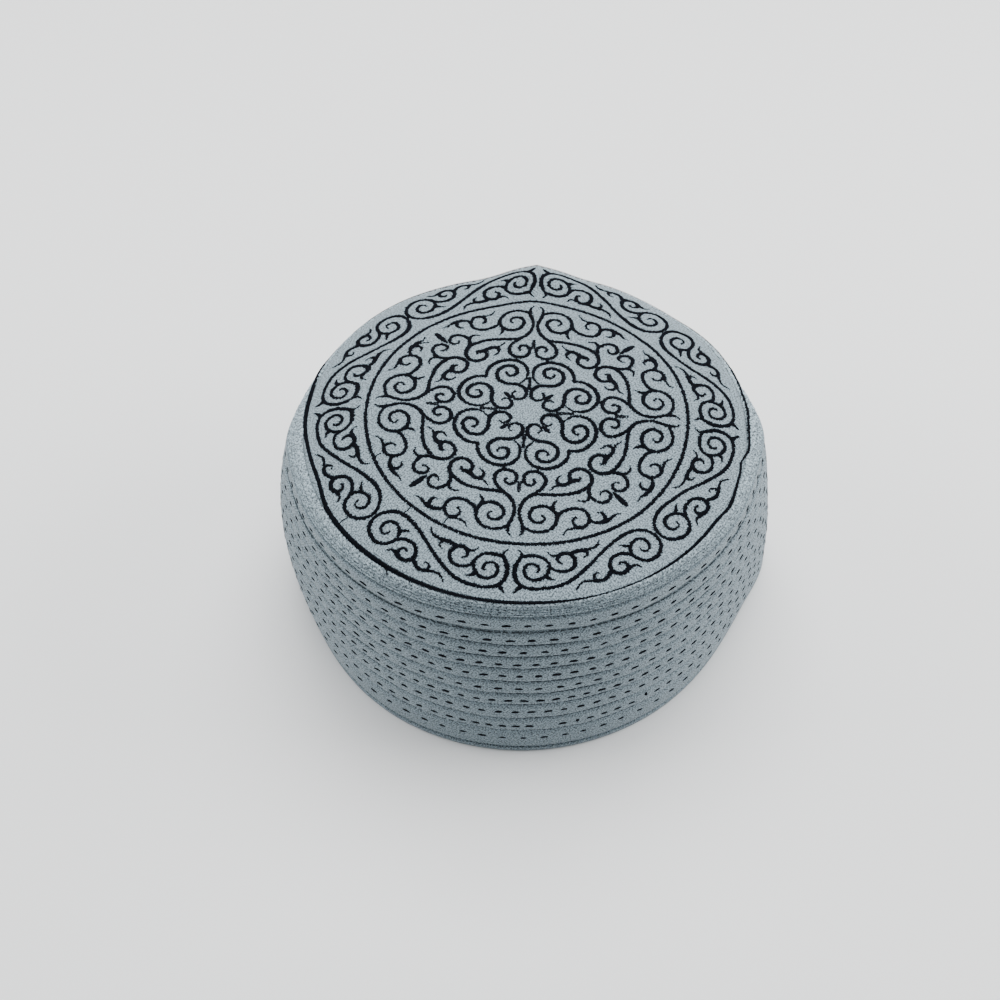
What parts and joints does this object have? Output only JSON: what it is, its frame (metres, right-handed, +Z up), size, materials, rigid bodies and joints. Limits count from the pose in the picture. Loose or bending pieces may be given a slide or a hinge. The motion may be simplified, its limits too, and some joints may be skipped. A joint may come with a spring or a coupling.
{
  "type": "prayer cap",
  "caption": "Round cloth prayer cap with a domed, stitched crown, a sewn edge band, a tucked side wall and a thin hem.",
  "frame": {"origin": "centre of the bottom rim, on the surface that the cap stands on", "axes": "+Z up through the crown, -Y towards the front of the cap, +X to its right as seen from the front"},
  "size_m": [0.1958, 0.1788, 0.0925],
  "materials": {
    "crown_cloth": "matte woven grey-blue cloth",
    "band_cloth": "matte cloth under rows of tonal stitching",
    "wall_cloth": "matte ribbed cloth with dark running stitches",
    "hem_cloth": "matte folded cloth"
  },
  "bodies": {
    "root": {"crown_panel": "crown_cloth", "crown_edge_band": "band_cloth", "side_wall": "wall_cloth", "bottom_hem": "hem_cloth"}
  },
  "joints": []
}
